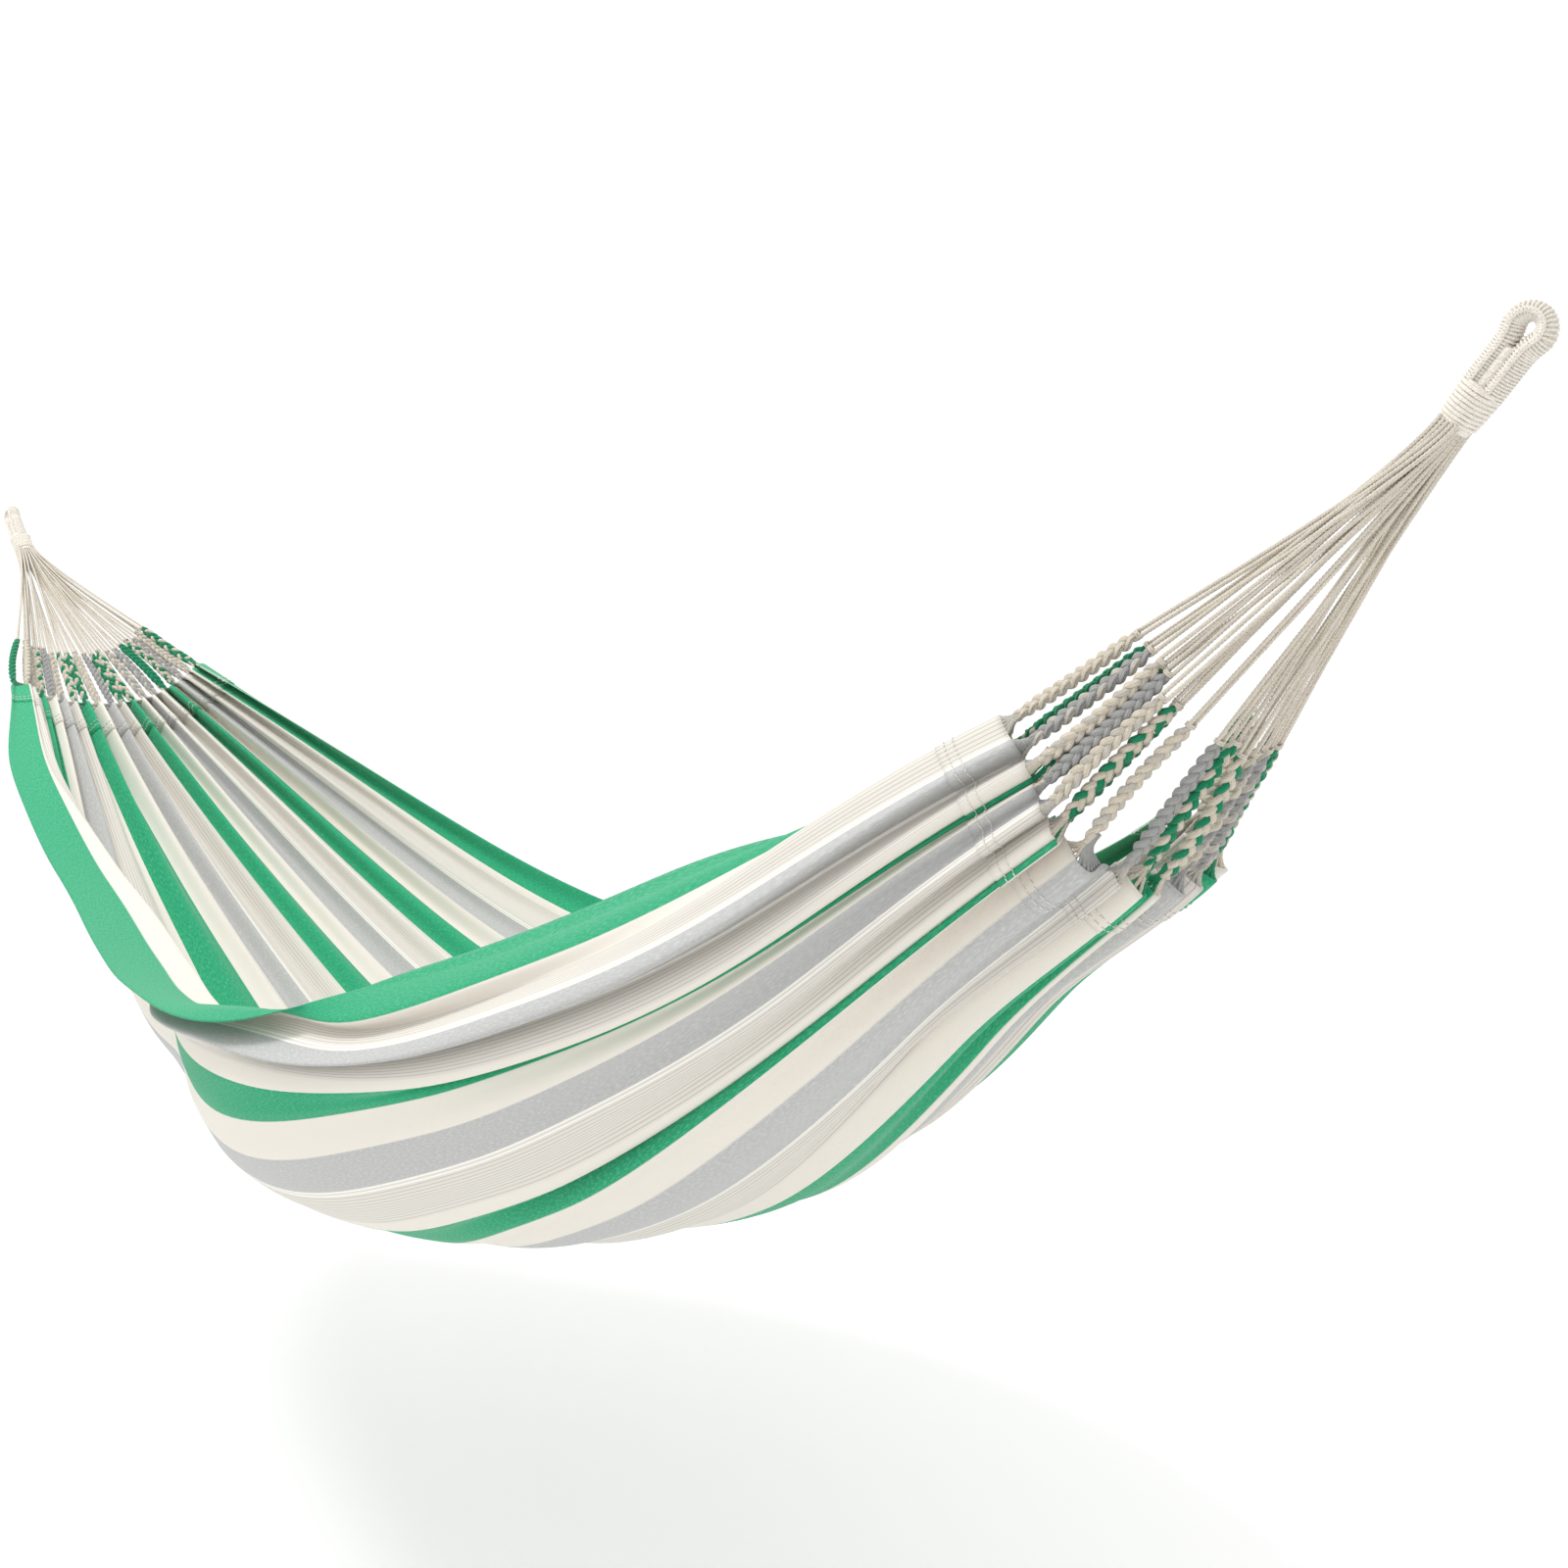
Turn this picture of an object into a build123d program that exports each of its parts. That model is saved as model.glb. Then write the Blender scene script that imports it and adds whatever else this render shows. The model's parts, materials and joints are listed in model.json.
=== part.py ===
from build123d import *
import os
from math import acos, atan2, cos, hypot, radians, sin, sqrt

os.makedirs("parts", exist_ok=True)

# Hammock hung between two hooks, in millimetres.
# The origin is the left hook, inside the top of the left eye. +X runs to the right hook, +Z is up.

# ---------------------------------------------------------------- driving dimensions
hook_distance = 2740.0      # between the two hooks
eye_length = 78.0           # from the hook to the middle of the neck, where the cords meet
eye_tilt = 50.0             # angle of the eye below level
eye_bore = 9.0              # radius of the hole at the end of the eye
core_radius = 5.5           # bundle of cord inside the eye
wrap_radius = 9.0           # outside of the wrapped eye
whipping_radius = 16.5      # turns that bind the cords together below the eye
whipping_start = 56.0       # distance from the hook to the first turn
whipping_rounding = 3.0
leg_offset = 9.2            # from the middle of the eye to each leg at the first turn
neck_radius = 20.0          # dome that the cords leave, centred on the swing axis
running_gap = 1.5           # between that dome and the cords

cord_radius = 1.6
cord_pitch = 4.0            # spacing of the cords where they are packed together at the neck
cord_columns = 8
cord_rows = 5
cords_per_braid = 2
cord_splay = 2.2            # half the spacing of the two cords in a braid's top loop

braid_count = 20            # one braid for each 80 mm of the 1600 mm wide cloth
braid_length = 145.0
braid_radius = 8.0          # at the hem, where there is room
braid_fill = 0.44           # share of the spacing of two braids that one braid's radius takes
braid_taper = 0.6           # top radius as a share of the radius at the hem
braid_root = 3.0            # depth that the braid runs into the hem

hem_fraction = 0.022        # part of the 2400 mm long cloth that is turned over as a hem
seam_fractions = (0.0160, 0.0190)
seam_half_width = 0.0004    # as a fraction of the cloth's length
seam_height = 0.8

# Five stations from the left hem to the right hem, evenly spaced along the cloth.
# Each one is a trough-shaped section across the cloth, in a plane leaning by its own tilt.
keel_x = (391.0, 910.0, 1420.0, 1910.0, 2424.0)         # lowest line of the bed
keel_y = (0.0, 20.0, -10.0, 85.0, 0.0)
keel_z = (-338.0, -800.0, -945.0, -845.0, -411.0)
plane_tilt = (40.0, 12.0, 0.0, -14.0, -52.0)            # degrees, leaning away from the middle
keel_share = (0.50, 0.44, 0.50, 0.60, 0.64)             # share of the width on the near side
near_width = (160.0, 355.0, 440.0, 445.0, 90.0)         # from the lowest line out to the near edge
near_height = (60.0, 280.0, 350.0, 330.0, 155.0)
near_sweep = (80.0, 100.0, 105.0, 105.0, 125.0)         # degrees that the side turns through
far_width = (130.0, 450.0, 610.0, 405.0, 115.0)
far_height = (100.0, 200.0, 240.0, 230.0, 85.0)
far_sweep = (80.0, 60.0, 60.0, 70.0, 90.0)
cloth_thickness = (7.0, 3.4, 2.4, 3.2, 7.0)             # thicker where the cloth is gathered in pleats
section_points = 13
cloth_sections = (0.06, 0.12, 0.19, 0.25, 0.34, 0.42, 0.50, 0.58, 0.66, 0.75, 0.81, 0.88, 0.94)


# ---------------------------------------------------------------- shape of the cloth
def along(values, u):
    """A smooth value at fraction u of the length, through five evenly spaced station values."""
    place = min(max(u, 0.0), 1.0) * 4
    i = min(int(place), 3)
    t = place - i
    before = values[i - 1] if i > 0 else 2 * values[0] - values[1]
    after = values[i + 2] if i < 3 else 2 * values[4] - values[3]
    a, b = values[i], values[i + 1]
    start_slope = (b - before) / 2
    end_slope = (after - a) / 2
    h = t * t * (3 - 2 * t)
    return a + h * (b - a) + start_slope * t * (1 - t) ** 2 - end_slope * t * t * (1 - t)


def across(u, v):
    """Place across a section: distance out from the lowest line, and height above it."""
    share = along(keel_share, u)
    if v < share:
        t = (share - v) / share
        sweep = radians(along(near_sweep, u))
        width, height = -along(near_width, u), along(near_height, u)
    else:
        t = (v - share) / (1 - share)
        sweep = radians(along(far_sweep, u))
        width, height = along(far_width, u), along(far_height, u)
    out = width * sin(sweep * t) / sin(sweep)
    up = height * (1 - cos(sweep * t)) / (1 - cos(sweep))
    return out, up


def section_plane(u):
    """Plane of the section at fraction u: its own X is across the bed and its own Y is up."""
    lean = radians(along(plane_tilt, u))
    place = (along(keel_x, u), along(keel_y, u), along(keel_z, u))
    return Plane(origin=place, x_dir=(0, 1, 0), z_dir=(cos(lean), 0, -sin(lean)))


def offset_line(u, distance):
    """Points of a section, moved square to the cloth by a distance, outwards when positive."""
    moved = []
    for k in range(section_points):
        v = k / (section_points - 1)
        here = across(u, v)
        ahead = across(u, min(v + 0.01, 1.0))
        behind = across(u, max(v - 0.01, 0.0))
        dx, dy = ahead[0] - behind[0], ahead[1] - behind[1]
        size = hypot(dx, dy)
        moved.append((here[0] + distance * dy / size, here[1] - distance * dx / size))
    return moved


def cloth_section(u, outer, inner):
    """Closed face between two lines offset from the section at fraction u."""
    outside = offset_line(u, outer)
    inside = offset_line(u, inner)
    with BuildSketch(section_plane(u)) as section:
        with BuildLine():
            Spline(*outside)
            Line(outside[-1], inside[-1])
            Spline(*reversed(inside))
            Line(inside[0], outside[0])
        make_face()
    return section.sketch.face()


def half_thickness(u):
    return along(cloth_thickness, u) / 2


def bed_point(u, v):
    """Point in the middle of the cloth, in the hammock's frame."""
    out, up = across(u, v)
    return section_plane(u).from_local_coords(Vector(out, up, 0))


# ---------------------------------------------------------------- cloth, hems and seams
with BuildPart() as bed_cloth:
    stations = (hem_fraction, *cloth_sections, 1 - hem_fraction)
    loft([cloth_section(u, half_thickness(u), -half_thickness(u)) for u in stations])
bed_cloth.part.label = "bed_cloth"
export_step(bed_cloth.part, "parts/bed_cloth.step")


def build_hem(side, edge, inner_edge):
    """Turned-over end band of the cloth."""
    with BuildPart() as hem:
        loft([cloth_section(u, half_thickness(u), -half_thickness(u)) for u in (edge, inner_edge)])
    hem.part.label = side + "_hem"
    export_step(hem.part, "parts/" + side + "_hem.step")


def build_seams(side, places):
    """Rows of thread that stand on the outer face of a hem."""
    with BuildPart() as seams:
        for place in places:
            sides = (place - seam_half_width, place + seam_half_width)
            loft([cloth_section(u, half_thickness(u) + seam_height, half_thickness(u)) for u in sides])
    seams.part.label = side + "_hem_stitching"
    export_step(seams.part, "parts/" + side + "_hem_stitching.step")


build_hem("left", 0, hem_fraction)
build_hem("right", 1, 1 - hem_fraction)
build_seams("left", seam_fractions)
build_seams("right", [1 - place for place in seam_fractions])


# ---------------------------------------------------------------- braids and cords
tilt = radians(eye_tilt)
neck_x = eye_length * cos(tilt)
neck_z = -eye_length * sin(tilt)
left_neck = Vector(neck_x, 0, neck_z)
right_neck = Vector(hook_distance - neck_x, 0, neck_z)


def braid_base(edge, i):
    """Middle of braid i where it leaves the hem."""
    return bed_point(edge, (i + 0.5) / braid_count)


def build_braid(side, edge, neck, i):
    """Plaited bundle of warp threads, thinner at its top loop; returns the top and its direction."""
    base = braid_base(edge, i)
    beside = braid_base(edge, i + 1 if i < braid_count / 2 else i - 1)
    radius = min(braid_radius, braid_fill * (beside - base).length)
    toward_neck = (neck - base).normalized()
    start = base - toward_neck * braid_root
    top = base + toward_neck * braid_length
    name = side + "_braid_" + format(i + 1, "02d")
    with BuildPart() as braid:
        with BuildSketch(Plane(origin=start, z_dir=toward_neck)):
            Circle(radius)
        with BuildSketch(Plane(origin=top, z_dir=toward_neck)):
            Circle(radius * braid_taper)
        loft()
    braid.part.label = name
    export_step(braid.part, "parts/" + name + ".step")
    return top


def neck_slot(neck, fan, c):
    """Place of cord c in the bundle at the neck, packed in columns from the near side."""
    column, row = divmod(c, cord_rows)
    if c < cords_per_braid * braid_count / 2:
        row = cord_rows - 1 - row
    out = (column - (cord_columns - 1) / 2) * cord_pitch
    up = (row - (cord_rows - 1) / 2) * cord_pitch
    face = Plane(origin=neck + fan * (neck_radius + running_gap), x_dir=(0, 1, 0), z_dir=fan)
    if face.y_dir.Z < 0:
        up = -up
    return face.from_local_coords(Vector(out, up, 0))


def build_end(side, edge, neck):
    """All the braids of one end, and the cords from their tops to the neck."""
    tops = [build_braid(side, edge, neck, i) for i in range(braid_count)]
    fan = (bed_point(edge, 0.5) - neck).normalized()
    with BuildPart() as cords:
        for c in range(cords_per_braid * braid_count):
            top = tops[c // cords_per_braid]
            apart = cord_splay if c % cords_per_braid else -cord_splay
            start = neck_slot(neck, fan, c)
            run = top + Vector(0, apart, 0) - start
            with BuildSketch(Plane(origin=start, z_dir=run)):
                Circle(cord_radius)
            extrude(amount=run.length)
    cords.part.label = side + "_suspension_cords"
    export_step(cords.part, "parts/" + side + "_suspension_cords.step")


build_end("left", 0, left_neck)
build_end("right", 1, right_neck)


# ---------------------------------------------------------------- eyes
bend_radius = eye_bore + wrap_radius


def eye_path():
    """Middle line of the eye: up one leg, round the hook and back down the other leg."""
    reach = hypot(whipping_start - eye_bore, leg_offset)
    lift = atan2(leg_offset, whipping_start - eye_bore) + acos(bend_radius / reach)
    touch_x = eye_bore + bend_radius * cos(lift)
    touch_y = bend_radius * sin(lift)
    Line((whipping_start, leg_offset), (touch_x, touch_y))
    ThreePointArc((touch_x, touch_y), (eye_bore - bend_radius, 0), (touch_x, -touch_y))
    Line((touch_x, -touch_y), (whipping_start, -leg_offset))


def build_eye(side, eye_plane):
    """Eye in its own plane: X runs from the hook to the neck."""
    with BuildPart() as core:
        with BuildLine(eye_plane) as path:
            eye_path()
        with BuildSketch(Plane(origin=path.line @ 0, z_dir=path.line % 0)):
            Circle(core_radius)
        sweep()
    core.part.label = side + "_eye_core"
    export_step(core.part, "parts/" + side + "_eye_core.step")

    with BuildPart() as wrap:
        with BuildLine(eye_plane) as path:
            eye_path()
        with BuildSketch(Plane(origin=path.line @ 0, z_dir=path.line % 0)):
            Circle(wrap_radius)
            Circle(core_radius, mode=Mode.SUBTRACT)
        sweep()
    wrap.part.label = side + "_eye_wrap"
    export_step(wrap.part, "parts/" + side + "_eye_wrap.step")

    shoulder = eye_length + sqrt(neck_radius ** 2 - whipping_radius ** 2)
    slant = radians(30)
    dome = (eye_length + neck_radius * cos(slant), neck_radius * sin(slant))
    with BuildPart() as whipping:
        with BuildSketch(eye_plane):
            with BuildLine():
                Polyline((whipping_start, 0), (whipping_start, whipping_radius), (shoulder, whipping_radius))
                ThreePointArc((shoulder, whipping_radius), dome, (eye_length + neck_radius, 0))
                Line((eye_length + neck_radius, 0), (whipping_start, 0))
            make_face()
        revolve(axis=Axis(eye_plane.origin, eye_plane.x_dir))
        rim = whipping.edges().filter_by(GeomType.CIRCLE).sort_by(Axis(eye_plane.origin, eye_plane.x_dir))[0]
        fillet(rim, whipping_rounding)
    whipping.part.label = side + "_neck_whipping"
    export_step(whipping.part, "parts/" + side + "_neck_whipping.step")


left_eye_plane = Plane(origin=(0, 0, 0), x_dir=(cos(tilt), 0, -sin(tilt)), z_dir=(0, -1, 0))
right_eye_plane = Plane(
    origin=(hook_distance, 0, 0), x_dir=(-cos(tilt), 0, -sin(tilt)), z_dir=(0, 1, 0)
)
build_eye("left", left_eye_plane)
build_eye("right", right_eye_plane)
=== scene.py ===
import json
import math

import bpy
import numpy as np
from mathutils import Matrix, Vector


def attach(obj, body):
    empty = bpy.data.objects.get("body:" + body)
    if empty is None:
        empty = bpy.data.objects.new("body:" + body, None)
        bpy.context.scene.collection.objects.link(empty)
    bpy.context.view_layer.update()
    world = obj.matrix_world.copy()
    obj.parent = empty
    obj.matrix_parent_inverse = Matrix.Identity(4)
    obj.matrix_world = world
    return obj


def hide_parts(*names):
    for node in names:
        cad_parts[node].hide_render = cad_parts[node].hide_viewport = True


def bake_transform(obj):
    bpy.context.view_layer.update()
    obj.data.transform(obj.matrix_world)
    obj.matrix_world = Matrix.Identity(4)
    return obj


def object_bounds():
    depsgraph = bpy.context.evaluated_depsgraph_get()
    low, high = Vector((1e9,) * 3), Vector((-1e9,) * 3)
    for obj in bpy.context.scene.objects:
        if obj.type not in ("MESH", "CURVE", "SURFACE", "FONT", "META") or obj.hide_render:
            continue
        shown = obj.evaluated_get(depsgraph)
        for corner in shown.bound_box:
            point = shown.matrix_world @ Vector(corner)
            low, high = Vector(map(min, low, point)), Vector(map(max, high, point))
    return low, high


# A striped cloth hammock, in metres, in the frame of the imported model:
# the origin is the left hook, +X runs to the right hook and +Z is up.

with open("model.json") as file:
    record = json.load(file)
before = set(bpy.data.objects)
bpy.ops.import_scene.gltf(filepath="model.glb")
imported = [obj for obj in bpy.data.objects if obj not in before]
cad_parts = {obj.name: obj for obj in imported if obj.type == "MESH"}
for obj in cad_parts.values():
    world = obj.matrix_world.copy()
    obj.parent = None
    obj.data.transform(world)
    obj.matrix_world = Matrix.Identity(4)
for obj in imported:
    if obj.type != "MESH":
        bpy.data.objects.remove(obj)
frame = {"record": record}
CAD_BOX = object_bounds()

# The camera of the photo, fitted to the imported model: yaw is from +Y towards -X.
CAMERA_PLACE = (3.271, -1.274, -0.222)
CAMERA_YAW = 0.790
CAMERA_PITCH = -0.082
CAMERA_LENS = 40.5
camera = bpy.data.objects.new("camera", bpy.data.cameras.new("camera"))
camera.data.lens = CAMERA_LENS
camera.data.sensor_width = 36.0
camera.data.clip_start = 0.01
camera.location = CAMERA_PLACE
look = Vector((-math.sin(CAMERA_YAW) * math.cos(CAMERA_PITCH),
               math.cos(CAMERA_YAW) * math.cos(CAMERA_PITCH), math.sin(CAMERA_PITCH)))
camera.rotation_euler = look.to_track_quat("-Z", "Y").to_euler()
bpy.context.scene.collection.objects.link(camera)
bpy.context.scene.camera = camera

JOINTS = {joint["name"]: joint for joint in frame["record"]["behaviour"]["joints"]}
MOUNTS = {mount["name"]: mount for mount in frame["record"]["mounts"]}
HOOK = {
    "left": Vector(MOUNTS["left_eye_hang"]["pos_m"]),
    "right": Vector(MOUNTS["right_eye_hang"]["pos_m"]),
}
NECK = {
    "left": Vector(JOINTS["swing"]["pos_m"]),
    "right": Vector(JOINTS["right_eye_turn"]["pos_m"]),
}
EDGE = {"left": 0.0, "right": 1.0}

CLOTH_LENGTH = 2.40
CLOTH_WIDTH = 1.60
CLOTH_THICKNESS = 0.0012
BRAIDS = 20
HEM_FRACTION = 0.022
SEAM_FRACTIONS = (0.0160, 0.0190)

# The five stations of part.py, from the left hem to the right hem, in metres and degrees.
KEEL_X = (0.391, 0.910, 1.420, 1.910, 2.424)
KEEL_Y = (0.0, 0.020, -0.010, 0.085, 0.0)
KEEL_Z = (-0.338, -0.800, -0.945, -0.845, -0.411)
PLANE_TILT = (40.0, 12.0, 0.0, -14.0, -52.0)
KEEL_SHARE = (0.50, 0.44, 0.50, 0.60, 0.64)
NEAR_WIDTH = (0.160, 0.355, 0.440, 0.445, 0.090)
NEAR_HEIGHT = (0.060, 0.280, 0.350, 0.330, 0.155)
NEAR_SWEEP = (80.0, 100.0, 105.0, 105.0, 125.0)
FAR_WIDTH = (0.130, 0.450, 0.610, 0.405, 0.115)
FAR_HEIGHT = (0.100, 0.200, 0.240, 0.230, 0.085)
FAR_SWEEP = (80.0, 60.0, 60.0, 70.0, 90.0)


# ---------------------------------------------------------------- shape of the bed
def along(values, u):
    """Smooth values at fractions u of the length, through the five station values."""
    values = np.asarray(values, float)
    place = np.clip(u, 0.0, 1.0) * 4
    i = np.minimum(place.astype(int), 3)
    t = place - i
    padded = np.concatenate([[2 * values[0] - values[1]], values, [2 * values[4] - values[3]]])
    before, a, b, after = padded[i], padded[i + 1], padded[i + 2], padded[i + 3]
    h = t * t * (3 - 2 * t)
    start_slope = (b - before) / 2
    end_slope = (after - a) / 2
    return a + h * (b - a) + start_slope * t * (1 - t) ** 2 - end_slope * t * t * (1 - t)


def envelope(u, v):
    """Points of the smooth bed, before any pleat, at fractions u of the length and v of the width."""
    share = along(KEEL_SHARE, u)
    near = v < share
    t = np.where(near, (share - v) / share, (v - share) / (1 - share))
    sweep = np.radians(np.where(near, along(NEAR_SWEEP, u), along(FAR_SWEEP, u)))
    width = np.where(near, -along(NEAR_WIDTH, u), along(FAR_WIDTH, u))
    height = np.where(near, along(NEAR_HEIGHT, u), along(FAR_HEIGHT, u))
    out = width * np.sin(sweep * t) / np.sin(sweep)
    up = height * (1 - np.cos(sweep * t)) / (1 - np.cos(sweep))
    lean = np.radians(along(PLANE_TILT, u))
    x = along(KEEL_X, u) + up * np.sin(lean)
    y = along(KEEL_Y, u) + out
    z = along(KEEL_Z, u) + up * np.cos(lean)
    return np.stack([x, y, z], -1)


def unit(vectors):
    return vectors / np.maximum(np.linalg.norm(vectors, axis=-1, keepdims=True), 1e-12)


def directions(u, v):
    """Directions square to the envelope (outwards) and across it (towards the far edge)."""
    d = 0.003
    ahead, behind = envelope(np.minimum(u + d, 1), v), envelope(np.maximum(u - d, 0), v)
    farther, nearer = envelope(u, np.minimum(v + d, 1)), envelope(u, np.maximum(v - d, 0))
    run = unit(ahead - behind)
    side = unit(farther - nearer)
    return unit(np.cross(side, run)), side


# How the slack near half folds. Each row is one place along the length. Its pairs belong to FOLD_V:
# the place down the smooth bed, as a fraction of the width, and the millimetres outwards from it.
FOLD_V = (0.0, 0.024, 0.0475, 0.072, 0.106, 0.124, 0.141, 0.178, 0.1905, 0.214, 0.238,
          0.276, 0.314, 0.367, 0.381, 0.4285, 0.50, 0.60)
FOLDS = {
    0.00: ((0, 22), (.01, 8), (.03, -2), (.055, -6), (.095, -4), (.115, 0), (.135, 0), (.175, 0),
          (.188, 0), (.212, 0), (.238, 0), (.276, 0), (.314, 0), (.367, 0), (.381, 0), (.4285, 0),
          (.5, 0), (.6, 0)),
    0.10: ((0, 52), (0, 24), (0, 0), (.006, -12), (.04, -20), (.065, -16), (.09, -14), (.15, -8),
          (.17, -6), (.2, -3), (.23, 0), (.276, 0), (.314, 0), (.367, 0), (.381, 0), (.4285, 0),
          (.5, 0), (.6, 0)),
    0.20: ((0, 20), (0, -14), (0, -43), (0, -77), (.03, -72), (.055, -62), (.075, -55),
          (.13, -40), (.15, -32), (.18, -20), (.21, -12), (.262, -4), (.31, 0), (.365, 0),
          (.38, 0), (.4285, 0), (.5, 0), (.6, 0)),
    0.30: ((0, -15), (-.002, -52), (-.003, -83), (-.006, -130), (.02, -120), (.045, -100),
          (.06, -104), (.09, -105), (.11, -100), (.138, -94), (.165, -85), (.215, -60),
          (.27, -30), (.35, -8), (.37, -5), (.425, 0), (.5, 0), (.6, 0)),
    0.40: ((0, -27), (-.002, -66), (-.004, -102), (-.008, -150), (.015, -132), (.035, -90),
          (.045, -100), (.06, -118), (.085, -120), (.112, -119), (.14, -116), (.2, -104),
          (.26, -72), (.335, -25), (.355, -18), (.41, -5), (.49, 0), (.6, 0)),
    0.50: ((.004, -16), (-.001, -48), (-.004, -80), (-.006, -130), (.018, -78), (.03, -36),
          (.036, -58), (.042, -74), (.058, -74), (.09, -78), (.125, -80), (.19, -66), (.25, -46),
          (.33, -25), (.35, -20), (.4, -8), (.485, -4), (.6, 0)),
    0.60: ((.03, 16), (.014, 0), (.006, -16), (.008, -48), (.026, -26), (.045, 2), (.048, -12),
          (.06, -18), (.09, -14), (.115, -12), (.14, -12), (.195, -10), (.25, -12), (.335, -16),
          (.358, -16), (.405, -14), (.48, -10), (.6, 0)),
    0.65: ((.038, 4), (.018, -14), (.012, -34), (.016, -52), (.05, -28), (.078, 10), (.074, -16),
          (.085, -8), (.112, 2), (.132, 0), (.148, -3), (.198, -4), (.252, -6), (.322, -9),
          (.345, -9), (.385, -7), (.47, -4), (.61, 0)),
    0.70: ((-.008, -58), (.03, -34), (.062, -9), (.066, -36), (.088, -6), (.097, 16), (.093, -12),
          (.112, 2), (.127, 7), (.142, 2), (.153, -5), (.2, -4), (.252, -5), (.315, -6),
          (.335, -6), (.367, -4), (.46, 0), (.615, 0)),
    0.80: ((-.024, -60), (.016, -40), (.055, -17), (.08, -36), (.108, 6), (.134, 20), (.128, -8),
          (.163, 16), (.176, 14), (.168, -22), (.184, -3), (.222, 1), (.265, 0), (.325, 2),
          (.342, -5), (.38, 3), (.47, 0), (.615, 0)),
    0.90: ((-.038, -38), (.018, -26), (.078, -6), (.104, -10), (.15, 8), (.18, 15), (.176, -10),
          (.226, 10), (.236, 8), (.23, -14), (.241, -4), (.257, 0), (.3, 5), (.35, 3), (.366, -8),
          (.402, 2), (.48, 0), (.61, 0)),
    1.00: ((.04, -38), (.02, -34), (.01, -24), (-.015, -6), (.112, 7), (.142, 8), (.138, -9),
          (.198, 6), (.213, 4), (.209, -10), (.222, -5), (.236, 0), (.276, 5), (.33, 3),
          (.346, -6), (.39, 2), (.48, 0), (.6, 0)),
}


def soften(values, reach, axis):
    """Evens values along one axis with a bell of the given reach, keeping straight ends straight."""
    half = int(3 * reach) + 1
    bell = np.exp(-0.5 * (np.arange(-half, half + 1) / reach) ** 2)
    bell /= bell.sum()
    values = np.moveaxis(values, axis, -1)
    first, last = values[..., :1], values[..., -1:]
    before = 2 * first - values[..., half:0:-1]
    after = 2 * last - values[..., -2:-half - 2:-1]
    padded = np.concatenate([before, values, after], -1)
    out = sum(w * padded[..., k:k + values.shape[-1]] for k, w in enumerate(bell))
    return np.moveaxis(out, -1, axis)


FINE_U = np.linspace(0, 1, 201)
FINE_V = np.linspace(0, 1, 641)


def fold_grids():
    """Place down the smooth bed and metres outwards, over the whole cloth."""
    stations = sorted(FOLDS)
    grids = []
    for part, last in ((0, 1.0), (1, 0.0)):
        rows = np.array([np.interp(FINE_V, FOLD_V + (1.0,), [pair[part] for pair in FOLDS[u]] + [last])
                         for u in stations])
        grid = np.stack([np.interp(FINE_U, stations, rows[:, j]) for j in range(len(FINE_V))], 1)
        grid = soften(soften(grid, 5.0, 0), 3.0, 1)
        grids.append(grid)
    return grids[0], grids[1] / 1000


FOLD_PLACE, FOLD_OUT = fold_grids()


def look_up(grid, u, v):
    """Value of a fine grid between its samples."""
    a = np.clip(u, 0, 1) * (len(FINE_U) - 1)
    b = np.clip(v, 0, 1) * (len(FINE_V) - 1)
    i = np.minimum(a.astype(int), len(FINE_U) - 2)
    j = np.minimum(b.astype(int), len(FINE_V) - 2)
    s, t = a - i, b - j
    return ((1 - s) * (1 - t) * grid[i, j] + s * (1 - t) * grid[i + 1, j]
            + (1 - s) * t * grid[i, j + 1] + s * t * grid[i + 1, j + 1])


RNG = np.random.default_rng(11)
PLEAT_SIZE = RNG.uniform(0.8, 1.15, (2, BRAIDS))
PLEAT_REACH = RNG.uniform(0.75, 1.4, (2, BRAIDS))
PLEAT_DEPTH = 0.0150        # half the height of a pleat at the hem
PLEAT_FADE = 0.20           # share of the length over which a pleat fades
DRAPE_DEPTH = 0.007         # the same for the wide waves between the pleats and the open bed
DRAPE_FADE = 0.28
DRAPES = 7.5                # of them across the width
HEM_LIFT = 0.035            # how much farther the near corner of the right hem is pulled to its neck
HEM_SHIFT = 0.018           # and how far it is drawn inwards
FAR_CORNER = (0.010, 0.010, -0.020)     # how the far corner of the right hem hangs away
HEM_BELLY = 0.020           # how far the middle of the right hem hangs below the smooth bed
RIM_STRETCH = 1.2           # for the cloth that FOLDS puts above the near edge of the smooth bed

# Extra gathering towards the right hem, which hides most of the third green stripe: for each fraction
# of the width, the shift of its place and the metres outwards.
GATHER_V = (0.367, 0.381, 0.405, 0.4285, 0.467, 0.505, 0.530, 0.558, 0.572, 0.620, 0.680)
GATHER_SHIFT = (0.008, 0.019, -0.012, -0.023, -0.016, 0.030, 0.010, -0.004, 0.004, -0.014, 0.0)
GATHER_OUT = (0.002, 0.001, -0.018, 0.002, 0.003, 0.003, -0.009, 0.0, 0.004, 0.004, 0.0)


def smooth(x, low, high):
    t = np.clip((x - low) / (high - low), 0, 1)
    return t * t * (3 - 2 * t)


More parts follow.
